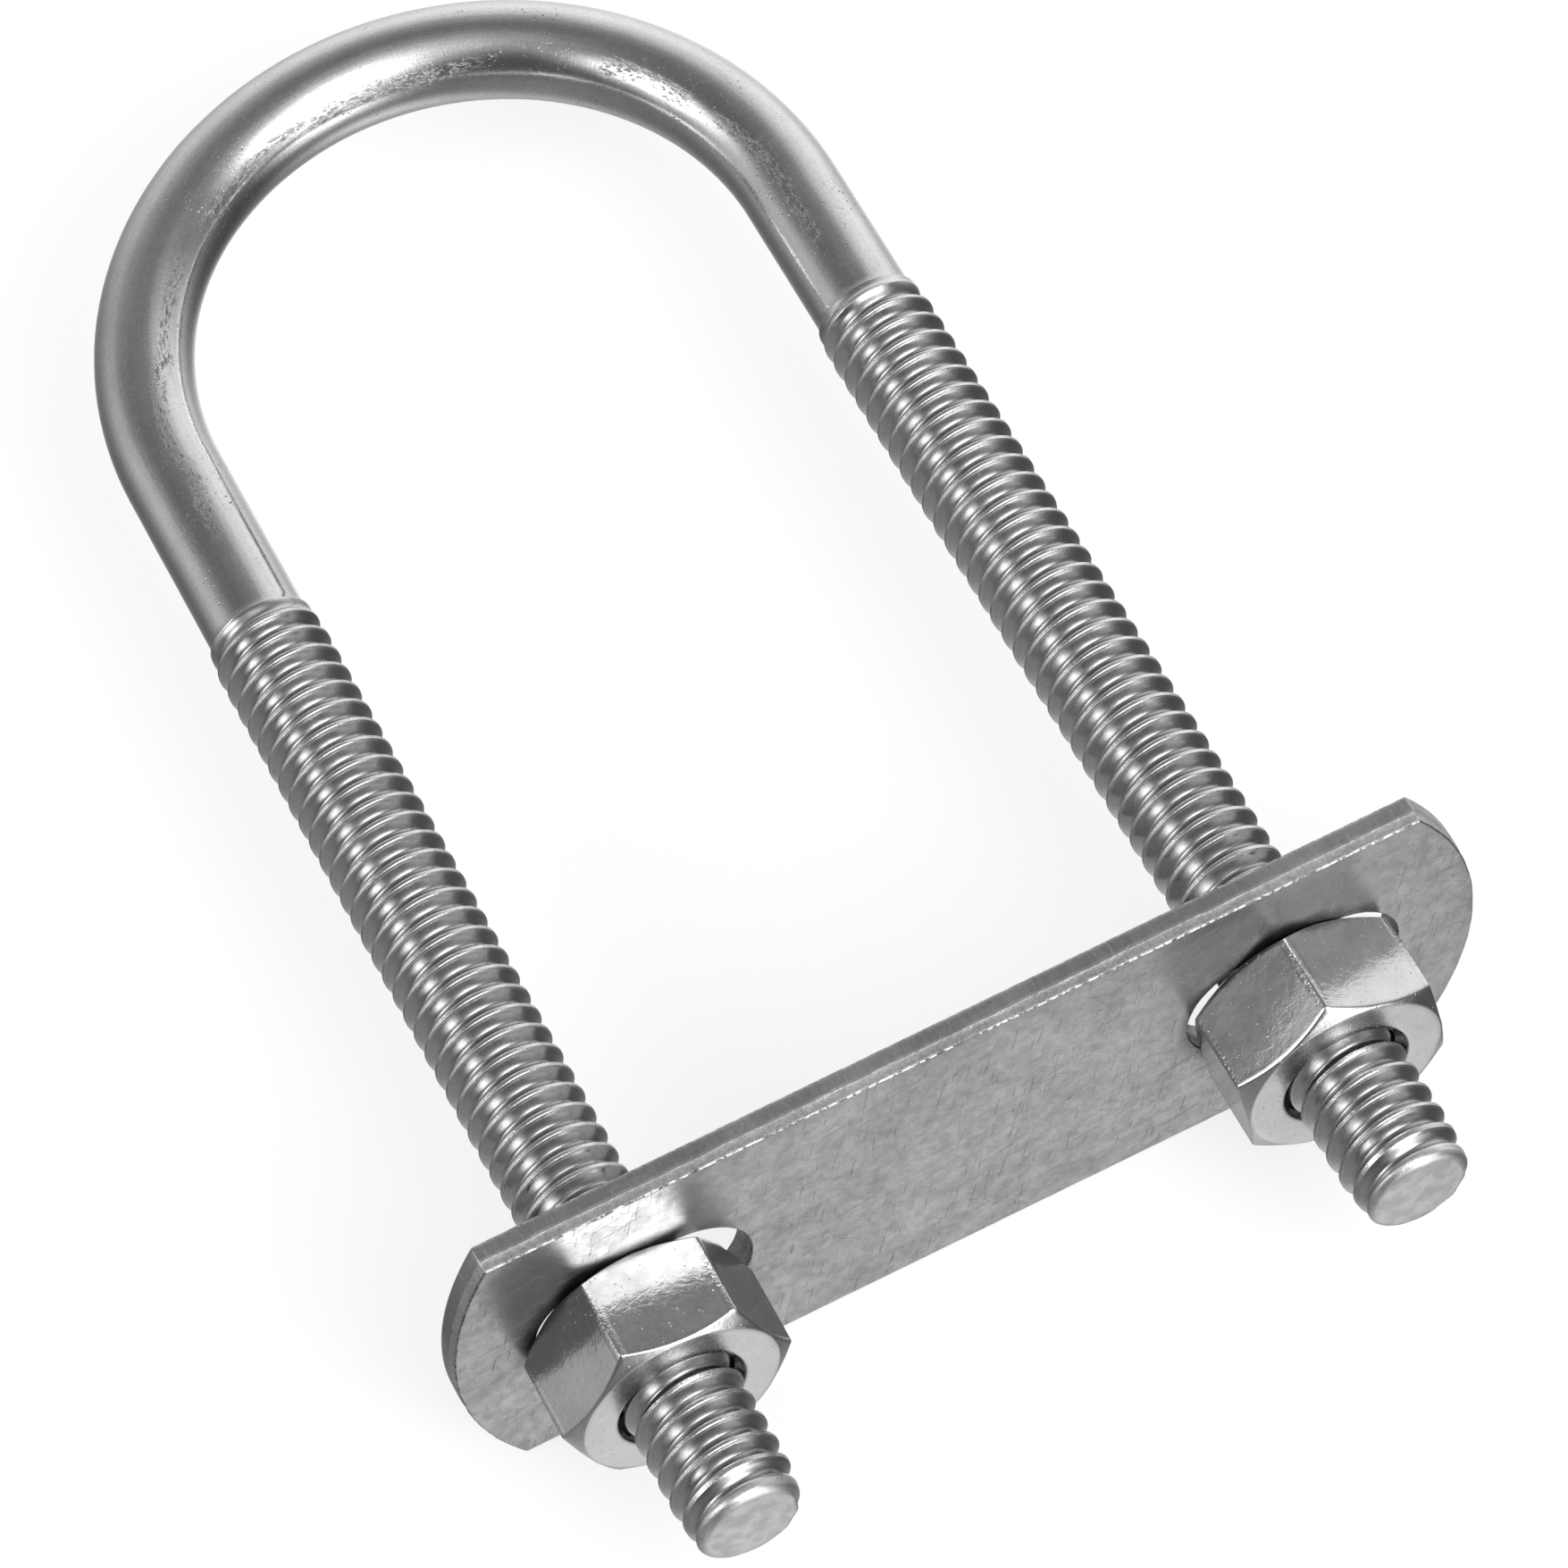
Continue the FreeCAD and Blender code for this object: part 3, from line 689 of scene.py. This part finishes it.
def bar_material():
    mat, t, b = metal("drawn_bar")
    st = t.attr("straight", True)
    thr = t.attr("thr")
    crest = t.attr("crest")
    # draw marks run along the bar
    m = t.new("ShaderNodeMapping")
    t.put(m.inputs["Vector"], st)
    m.inputs["Scale"].default_value = (7.0, 0.22, 7.0)
    draw = t.noise(m.outputs[0], 1.0, 3.0, 0.6)
    cloud = t.noise(st, 0.42, 3.0, 0.55)
    fine = t.noise(st, 3.2, 3.0, 0.6)
    # pits, denser in patches
    cells = t.voronoi(st, 2.4)
    patch = t.noise(st, 0.33, 2.0, 0.5)
    pits = t.math("MULTIPLY", t.ramp(cells, 0.20, 0.10), t.ramp(patch, 0.50, 0.62))
    cells2 = t.voronoi(st, 5.0)
    pits2 = t.math("MULTIPLY", t.ramp(cells2, 0.26, 0.12), t.ramp(t.noise(st, 0.8, 2.0, 0.5), 0.52, 0.66))
    pit = t.math("MAXIMUM", pits, t.math("MULTIPLY", pits2, 0.7))
    shank = t.math("SUBTRACT", 1.0, thr)
    # a scuffed, pitted streak along the upper side of the bow, where the former rubbed
    sep = t.new("ShaderNodeSeparateXYZ")
    t.put(sep.inputs[0], st)
    psi = t.math("ARCTAN2", sep.outputs[2], sep.outputs[0])
    bend = t.math("SINE", t.math("MAXIMUM", 0.0, t.math("DIVIDE", t.math("SUBTRACT", sep.outputs[1], BOW_Y), BOW_R)))
    track = t.math("MULTIPLY_ADD", bend, 0.78, t.ramp(t.noise(st, 0.20, 2.0, 0.5), 0.3, 0.7, 1.66, 1.88))
    gap = t.math("ABSOLUTE", t.math("SUBTRACT", psi, track))
    mm2 = t.new("ShaderNodeMapping")
    t.put(mm2.inputs["Vector"], st)
    mm2.inputs["Scale"].default_value = (5.5, 1.8, 5.5)
    rag = t.noise(mm2.outputs[0], 1.0, 4.0, 0.75)
    specks = t.ramp(rag, 0.50, 0.60)
    along = t.ramp(t.noise(t.vec("MULTIPLY", st, (0.02, 0.12, 0.02)), 1.0, 1.0, 0.5), 0.40, 0.52)
    streak = t.math("MULTIPLY", t.math("MULTIPLY", t.ramp(gap, 0.24, 0.05), specks), t.math("MULTIPLY", along, shank))
    pit = t.math("MAXIMUM", pit, streak)
    pit = t.math("MULTIPLY", pit, t.math("SUBTRACT", 1.0, t.math("MULTIPLY", thr, 0.8)))
    base = t.ramp(cloud, 0.3, 0.7, 0.595, 0.635)
    base = t.math("ADD", base, t.ramp(draw, 0.3, 0.7, -0.025, 0.025))
    grain = t.noise(st, 6.5, 3.0, 0.7)
    base = t.math("ADD", base, t.ramp(fine, 0.25, 0.75, -0.02, 0.02))
    base = t.math("ADD", base, t.math("MULTIPLY", shank, t.ramp(grain, 0.25, 0.75, -0.055, 0.055)))
    base = t.math("MULTIPLY", base, t.math("SUBTRACT", 1.0, t.math("MULTIPLY", pit, 0.60)))
    # threads: painted shade darkens the roots, and rubbed crests are lighter
    root = t.ramp(crest, 0.0, 0.50, 0.68, 1.0)
    rub = t.ramp(crest, 0.80, 0.98, 0.0, 0.08)
    tb = t.math("ADD", t.math("MULTIPLY", base, root), rub)
    mixn = t.new("ShaderNodeMix", data_type="FLOAT")
    t.put(mixn.inputs[0], thr)
    t.put(mixn.inputs[2], base)
    t.put(mixn.inputs[3], tb)
    # the rounded tips are tumbled to the same satin as the end faces
    tip = t.math("MULTIPLY", t.ramp(thr, 0.99, 0.76), t.ramp(thr, 0.2, 0.5))
    soft = t.noise(st, 1.1, 2.0, 0.5, 0.4)
    tipmix = t.new("ShaderNodeMix", data_type="FLOAT")
    t.put(tipmix.inputs[0], tip)
    t.put(tipmix.inputs[2], mixn.outputs[0])
    t.put(tipmix.inputs[3], t.math("ADD", t.ramp(soft, 0.3, 0.7, 0.60, 0.74), t.ramp(fine, 0.3, 0.7, -0.03, 0.03)))
    t.put(b.inputs["Base Color"], t.warm(tipmix.outputs[0], 1.0, 1.0, 0.99))
    rough = t.ramp(cloud, 0.3, 0.7, 0.11, 0.15)
    rough = t.math("ADD", rough, t.ramp(fine, 0.3, 0.7, -0.01, 0.02))
    rough = t.math("ADD", rough, t.math("MULTIPLY", pit, 0.25))
    rough = t.math("ADD", rough, t.math("MULTIPLY", thr, t.ramp(crest, 0.75, 1.0, 0.0, 0.06)))
    rough = t.math("ADD", rough, t.math("MULTIPLY", thr, t.ramp(crest, 0.0, 0.75, 0.14, 0.02)))
    rough = t.math("ADD", rough, t.math("MULTIPLY", tip, 0.20))
    t.put(b.inputs["Roughness"], rough)
    h = t.math("ADD", t.math("MULTIPLY", draw, 0.35), t.math("MULTIPLY", fine, 0.22))
    h = t.math("ADD", h, t.math("MULTIPLY", shank, t.math("MULTIPLY", grain, 0.55)))
    h = t.math("SUBTRACT", h, t.math("MULTIPLY", pit, 1.3))
    lip = t.math("MULTIPLY", thr, t.ramp(crest, 0.84, 0.95))
    h = t.math("ADD", h, t.math("MULTIPLY", lip, t.math("MULTIPLY", t.noise(st, 8.0, 2.0, 0.6), 2.2)))
    n1 = t.bump(h, 0.000010, 0.8)
    t.put(b.inputs["Normal"], n1)
    return mat


def end_material():
    """Cropped and tumbled end faces of the legs."""
    mat, t, b = metal("cropped_end")
    st = t.attr("straight", True)
    soft = t.noise(st, 1.1, 2.0, 0.5, 0.4)
    fine = t.noise(st, 7.0, 3.0, 0.6)
    base = t.math("ADD", t.ramp(soft, 0.3, 0.7, 0.60, 0.74), t.ramp(fine, 0.3, 0.7, -0.03, 0.03))
    t.put(b.inputs["Base Color"], t.grey(base))
    t.put(b.inputs["Roughness"], t.math("ADD", t.ramp(soft, 0.3, 0.7, 0.40, 0.30), t.ramp(fine, 0.3, 0.7, 0.0, 0.06)))
    t.put(b.inputs["Normal"], t.bump(t.math("ADD", t.math("MULTIPLY", soft, 2.0), t.math("MULTIPLY", fine, 0.4)), 0.00003, 0.8))
    return mat


def plate_material():
    mat, t, b = metal("rolled_plate")
    geo = t.new("ShaderNodeTexCoord")
    mm = t.vec("SCALE", geo.outputs["Object"])
    mm.node.inputs["Scale"].default_value = 1000.0
    ez = t.attr("ez")
    cloud = t.noise(mm, 0.16, 3.0, 0.55)
    stain = t.noise(mm, 0.45, 4.0, 0.65, 0.6)
    fine = t.noise(mm, 5.5, 3.0, 0.65)
    s1 = t.scratches(mm, math.radians(12), 9.0, 0.30, 0.70, 0.74, 3.1)
    s2 = t.scratches(mm, math.radians(-38), 11.0, 0.42, 0.70, 0.74, 9.4)
    s3 = t.scratches(mm, math.radians(74), 10.0, 0.5, 0.70, 0.74, 21.7)
    s4 = t.scratches(mm, math.radians(2), 6.0, 0.10, 0.66, 0.74, 14.2)
    scr = t.math("MAXIMUM", t.math("MAXIMUM", s1, s2), s3)
    spots = t.math("MULTIPLY", t.ramp(t.voronoi(mm, 1.1), 0.12, 0.06), t.ramp(t.noise(mm, 0.5, 2.0, 0.5), 0.55, 0.62))
    base = t.ramp(cloud, 0.3, 0.7, 0.46, 0.56)
    blot = t.noise(mm, 1.3, 5.0, 0.62, 0.3)
    base = t.math("ADD", base, t.ramp(stain, 0.35, 0.68, 0.025, -0.045))
    base = t.math("ADD", base, t.ramp(blot, 0.36, 0.64, 0.03, -0.04))
    base = t.math("ADD", base, t.ramp(fine, 0.25, 0.75, -0.03, 0.03))
    base = t.math("ADD", base, t.math("MULTIPLY", scr, -0.10))
    base = t.math("ADD", base, t.math("MULTIPLY", s4, 0.05))
    base = t.math("ADD", base, t.math("MULTIPLY", spots, -0.16))
    # sheared edges: a burnished band, then a duller broken band
    band = t.ramp(ez, 0.5, 0.9)
    brk = t.ramp(ez, 1.2, 1.8)
    gx = t.new("ShaderNodeMapping")
    t.put(gx.inputs["Vector"], mm)
    gx.inputs["Scale"].default_value = (5.0, 0.6, 5.0)
    tear = t.noise(gx.outputs[0], 1.0, 3.0, 0.6)
    base = t.math("ADD", base, t.math("MULTIPLY", band, t.ramp(tear, 0.3, 0.7, -0.07, 0.00)))
    base = t.math("ADD", base, t.math("MULTIPLY", brk, t.ramp(fine, 0.3, 0.7, 0.02, 0.13)))
    # the arris is nicked and only shines in places
    arris = t.math("MULTIPLY", t.ramp(ez, 0.08, 0.18), t.ramp(ez, 0.85, 0.62))
    worn = t.math("MULTIPLY", arris, t.ramp(t.noise(mm, 3.4, 3.0, 0.65), 0.44, 0.56, 0.62, 0.0))
    base = t.math("MULTIPLY", base, t.math("SUBTRACT", 1.0, worn))
    # painted shade: a dark arc on the plate's nut-side face round one side of each nut, standing in for the nut's
    # contact shadow and its dark reflection in the plate
    gs = t.new("ShaderNodeSeparateXYZ")
    t.put(gs.inputs[0], mm)
    gxr = t.math("SUBTRACT", gs.outputs[0], t.math("MULTIPLY", t.math("SIGN", gs.outputs[0]), LEG_R))
    gd = t.math("SQRT", t.math("ADD", t.math("MULTIPLY", gxr, gxr), t.math("MULTIPLY", gs.outputs[2], gs.outputs[2])))
    lean = t.math("DIVIDE", t.math("MULTIPLY_ADD", gxr, -0.5, t.math("MULTIPLY", gs.outputs[2], 0.87)), gd)
    nut_shadow_arc = t.math("MULTIPLY", t.ramp(t.math("ADD", gd, t.ramp(blot, 0.3, 0.7, -0.15, 0.15)), 6.75, 5.75), t.ramp(lean, 0.05, 0.85))
    nut_shadow_arc = t.math("MULTIPLY", nut_shadow_arc, t.ramp(gs.outputs[1], -1.2, -1.5))
    base = t.math("MULTIPLY", base, t.math("SUBTRACT", 1.0, t.math("MULTIPLY", nut_shadow_arc, 0.70)))
    t.put(b.inputs["Base Color"], t.warm(base, 1.0, 1.0, 0.985))
    rough = t.math("ADD", t.ramp(cloud, 0.3, 0.7, 0.33, 0.39), t.math("MULTIPLY", worn, 0.3))
    rough = t.math("ADD", rough, t.ramp(stain, 0.3, 0.7, -0.02, 0.05))
    rough = t.math("ADD", rough, t.ramp(blot, 0.36, 0.64, -0.03, 0.04))
    rough = t.math("ADD", rough, t.math("MULTIPLY", scr, 0.10))
    rough = t.math("ADD", rough, t.math("MULTIPLY", brk, 0.16))
    t.put(b.inputs["Roughness"], rough)
    h = t.math("ADD", t.math("MULTIPLY", fine, 0.8), t.math("MULTIPLY", stain, 1.2))
    h = t.math("ADD", h, t.math("MULTIPLY", blot, 1.6))
    h = t.math("SUBTRACT", h, t.math("MULTIPLY", scr, 0.9))
    nick = t.math("MULTIPLY", t.ramp(t.voronoi(mm, 0.22), 0.07, 0.03), t.ramp(t.noise(mm, 2.2, 3.0, 0.6), 0.42, 0.60))
    h = t.math("SUBTRACT", h, t.math("MULTIPLY", nick, 3.0))
    h = t.math("ADD", h, t.math("MULTIPLY", band, t.math("MULTIPLY", tear, 0.30)))
    h = t.math("ADD", h, t.math("MULTIPLY", brk, t.math("MULTIPLY", fine, 3.0)))
    t.put(b.inputs["Normal"], t.bump(h, 0.000010, 0.8))
    return mat


def nut_material(name, seed):
    mat, t, b = metal(name)
    geo = t.new("ShaderNodeTexCoord")
    mm = t.vec("SCALE", geo.outputs["Object"])
    mm.node.inputs["Scale"].default_value = 1000.0
    off = t.vec("ADD", mm, (seed, seed * 2.1, -seed))
    zone = t.attr("zone")
    rad = t.attr("rad")
    wave = t.noise(off, 0.55, 2.0, 0.5)
    mott = t.noise(off, 2.6, 3.0, 0.6, 0.5)
    fine = t.noise(off, 9.0, 3.0, 0.6)
    ann = t.ramp(zone, 0.62, 0.95)
    rings = t.new("ShaderNodeMath", operation="SINE")
    t.put(rings.inputs[0], t.math("ADD", t.math("MULTIPLY", rad, 62.0), t.math("MULTIPLY", mott, 3.0)))
    turn = rings.outputs[0]
    base = t.ramp(wave, 0.3, 0.7, 0.63, 0.69)
    base = t.math("ADD", base, t.ramp(mott, 0.3, 0.7, -0.025, 0.02))
    base = t.math("ADD", base, t.ramp(fine, 0.3, 0.7, -0.015, 0.015))
    dirt = t.math("MULTIPLY", t.ramp(t.voronoi(off, 2.1), 0.12, 0.06), t.ramp(t.noise(off, 0.7, 2.0, 0.5), 0.54, 0.62))
    base = t.math("MULTIPLY", base, t.math("SUBTRACT", 1.0, t.math("MULTIPLY", dirt, 0.35)))
    # painted shade: the tapped hole's colour is darkened all through the bore, where shade falls inside
    hole = t.ramp(rad, 3.50, 3.60, 1.0, 0.0)
    base = t.math("MULTIPLY", base, t.math("SUBTRACT", 1.0, t.math("MULTIPLY", hole, 0.72)))
    t.put(b.inputs["Base Color"], t.grey(base))
    rough = t.ramp(mott, 0.3, 0.7, 0.10, 0.16)
    rough = t.math("ADD", rough, t.math("MULTIPLY", ann, 0.12))
    rough = t.math("ADD", rough, t.math("MULTIPLY", dirt, 0.15))
    t.put(b.inputs["Roughness"], rough)
    h = t.math("ADD", t.math("MULTIPLY", wave, 2.6), t.math("MULTIPLY", mott, 1.3))
    specks = t.math("MULTIPLY", t.ramp(t.voronoi(off, 2.8), 0.17, 0.07), t.ramp(t.noise(off, 1.4, 2.0, 0.5), 0.45, 0.55))
    h = t.math("SUBTRACT", h, t.math("MULTIPLY", specks, 2.2))
    h = t.math("ADD", h, t.math("MULTIPLY", fine, 0.5))
    h = t.math("ADD", h, t.math("MULTIPLY", ann, t.math("MULTIPLY", turn, 0.10)))
    # bruised corners
    bruise = t.math("MULTIPLY", t.ramp(rad, 6.14, 6.24), t.noise(off, 5.5, 2.0, 0.6))
    h = t.math("ADD", h, t.math("MULTIPLY", bruise, 3.2))
    t.put(b.inputs["Normal"], t.bump(h, 0.000010, 0.8))
    return mat


# ---------------------------------------------------------------- build the pieces
bar = build_bar()
bar.data.materials.append(bar_material())
bar.data.materials.append(end_material())
# end faces take the second material
thr_attr = bar.data.attributes["thr"].data
for poly in bar.data.polygons:
    if all(0.5 < thr_attr[v].value < 0.7 for v in poly.vertices):
        poly.material_index = 1
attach(bar, "u_bolt")
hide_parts("u_bolt")

plate = build_plate()
plate.data.materials.append(plate_material())
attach(plate, "plate")
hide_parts("backing_plate")

for side, cx, turn, ref in (("left", LEG_L, 53.5, CREST_L), ("right", LEG_R, 34.7, CREST_R)):
    nut = build_nut("hex_nut_" + side, cx, turn, ref, 4.0 if side == "left" else 17.0)
    nut.data.materials.append(nut_material("polished_nut_" + side, 2.0 if side == "left" else 31.0))
    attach(nut, "nut_" + side)
    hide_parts("nut_" + side)

# ---------------------------------------------------------------- floor
floor_z = PL_LO.z - 0.00003
me = bpy.data.meshes.new("floor")
S = 6.0
me.from_pydata([(-S, -S, floor_z), (S, -S, floor_z), (S, S, floor_z), (-S, S, floor_z)], [], [(0, 1, 2, 3)])
floor = bpy.data.objects.new("floor", me)
bpy.context.scene.collection.objects.link(floor)
mat = bpy.data.materials.new("pale_floor")
mat.use_nodes = True
t = Tree(mat.node_tree)
for n in list(mat.node_tree.nodes):
    mat.node_tree.nodes.remove(n)
out = t.new("ShaderNodeOutputMaterial")
dif = t.new("ShaderNodeBsdfDiffuse")
dif.inputs["Color"].default_value = (0.309, 0.309, 0.309, 1)
emi = t.new("ShaderNodeEmission")
emi.inputs["Color"].default_value = (1, 1, 1, 1)
emi.inputs["Strength"].default_value = 0.75
addn = t.new("ShaderNodeAddShader")
t.put(addn.inputs[0], dif.outputs[0])
t.put(addn.inputs[1], emi.outputs[0])
tr = t.new("ShaderNodeBsdfTransparent")
lp = t.new("ShaderNodeLightPath")
mix = t.new("ShaderNodeMixShader")
t.put(mix.inputs[0], lp.outputs["Is Camera Ray"])
t.put(mix.inputs[1], tr.outputs[0])
t.put(mix.inputs[2], addn.outputs[0])
t.put(out.inputs["Surface"], mix.outputs[0])
me.materials.append(mat)

# ---------------------------------------------------------------- soft studio light, as a world of soft panels
# (azimuth from +Y towards +X, elevation, strength, sharpness)
PANELS = [
    (-91, 37, 1.90, 24.0), (157, 42, 2.50, 14.0), (162, -5, 1.40, 15.0), (20, 5, 0.78, 3.0), (64, 0, 0.36, 10.0), (66, 36, 0.34, 18.0), (28, -30, 0.07, 7.0), (174, 75, 0.43, 9.3), (-142, 78, 0.17, 9.2),
    (34, -50, 0.40, 14.7), (-63, 10, 0.46, 6.7), (163, -61, 0.55, 16.0), (-132, -31, 0.27, 3.3), (-72, -80, 0.36, 10.1), (95, 8, 0.30, 9.0),
]
world = bpy.data.worlds.new("studio")
bpy.context.scene.world = world
world.use_nodes = True
t = Tree(world.node_tree)
for n in list(world.node_tree.nodes):
    world.node_tree.nodes.remove(n)
co = t.new("ShaderNodeTexCoord")
total = 0.02
for az, el, amp, k in PANELS:
    a, e = math.radians(az), math.radians(el)
    d = (math.sin(a) * math.cos(e), math.cos(a) * math.cos(e), math.sin(e))
    dot = t.vec("DOT_PRODUCT", co.outputs["Generated"], d)
    p = t.math("EXPONENT", t.math("MULTIPLY", t.math("SUBTRACT", dot, 1.0), k))
    total = t.math("MULTIPLY_ADD", p, amp, total)
# a steeper response makes the panels crisper and the gaps between them darker
total = t.math("ADD", t.math("MULTIPLY", t.math("POWER", t.math("MULTIPLY", total, 2.0), 1.6), 0.5), 0.06)
# a dark, clearly bounded ceiling panel overhead and beyond the bow
ceiling = t.ramp(t.vec("DOT_PRODUCT", co.outputs["Generated"], (-0.2, 0.42, 0.885)), 0.755, 0.80, 1.0, 0.86)
total = t.math("MULTIPLY", total, ceiling)
lp = t.new("ShaderNodeLightPath")
bg = t.new("ShaderNodeBackground")
t.put(bg.inputs["Color"], t.grey(1.0))
m = t.new("ShaderNodeMix", data_type="FLOAT")
t.put(m.inputs[0], lp.outputs["Is Camera Ray"])
t.put(m.inputs[2], total)
m.inputs[3].default_value = 1.0
t.put(bg.inputs["Strength"], m.outputs[0])
wo = t.new("ShaderNodeOutputWorld")
t.put(wo.inputs["Surface"], bg.outputs[0])
bpy.context.scene.view_settings.view_transform = "Standard"

# ---------------------------------------------------------------- camera at the reference viewpoint
cam = bpy.data.cameras.new("camera")
cam_ob = bpy.data.objects.new("camera", cam)
bpy.context.scene.collection.objects.link(cam_ob)
RX = (0.90473427, -0.39787566, -0.15215406)
RY = (-0.39405002, -0.64603997, -0.65372543)
RZ = (0.16180384, 0.65140411, -0.74127741)
PX, PY, PZ = -0.07693278, -0.21033058, 0.41101577
cam_ob.matrix_world = Matrix((
    (RX[0], -RY[0], -RZ[0], PX),
    (RX[1], -RY[1], -RZ[1], PY),
    (RX[2], -RY[2], -RZ[2], PZ),
    (0, 0, 0, 1),
))
cam.sensor_width = 36.0
cam.lens = 207.568
cam.clip_start, cam.clip_end = 0.01, 20.0
# the viewpoint is off the frame's centre, so the lens is shifted there, and only there
for prop, value in (("shift_x", 0.5093048), ("shift_y", -1.0856115)):
    drv = cam.driver_add(prop).driver
    drv.type = "SCRIPTED"
    v = drv.variables.new()
    v.name = "px"
    v.type = "TRANSFORMS"
    v.targets[0].id = cam_ob
    v.targets[0].transform_type = "LOC_X"
    v.targets[0].transform_space = "WORLD_SPACE"
    drv.expression = "%.7f if abs(px + 0.0769328) < 0.00002 else 0.0" % value
bpy.context.scene.camera = cam_ob
